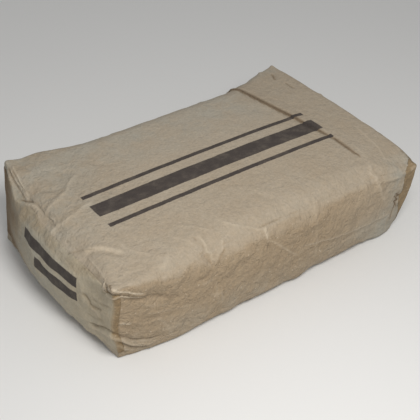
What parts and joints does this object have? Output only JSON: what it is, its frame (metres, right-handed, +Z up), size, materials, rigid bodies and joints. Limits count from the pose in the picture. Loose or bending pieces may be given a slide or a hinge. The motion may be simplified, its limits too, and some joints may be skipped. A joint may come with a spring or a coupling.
{
  "type": "bag of concrete mix",
  "caption": "Filled kraft paper sack of dry concrete mix, lying flat: a swollen block with creased upright corners and a pasted cover sheet on both ends.",
  "frame": {"origin": "under the middle of the sack, on the surface it lies on", "axes": "+X along the length, from the swollen end to the squarer end; +Y across it; +Z up"},
  "size_m": [0.6154, 0.3716, 0.155],
  "materials": {
    "kraft_paper": "matte",
    "cover_paper": "matte",
    "dry_mix": "matte"
  },
  "bodies": {
    "root": {"paper_sack": "kraft_paper", "dry_mix": "dry_mix", "end_sheet_left": "cover_paper", "end_sheet_right": "cover_paper"}
  },
  "joints": []
}
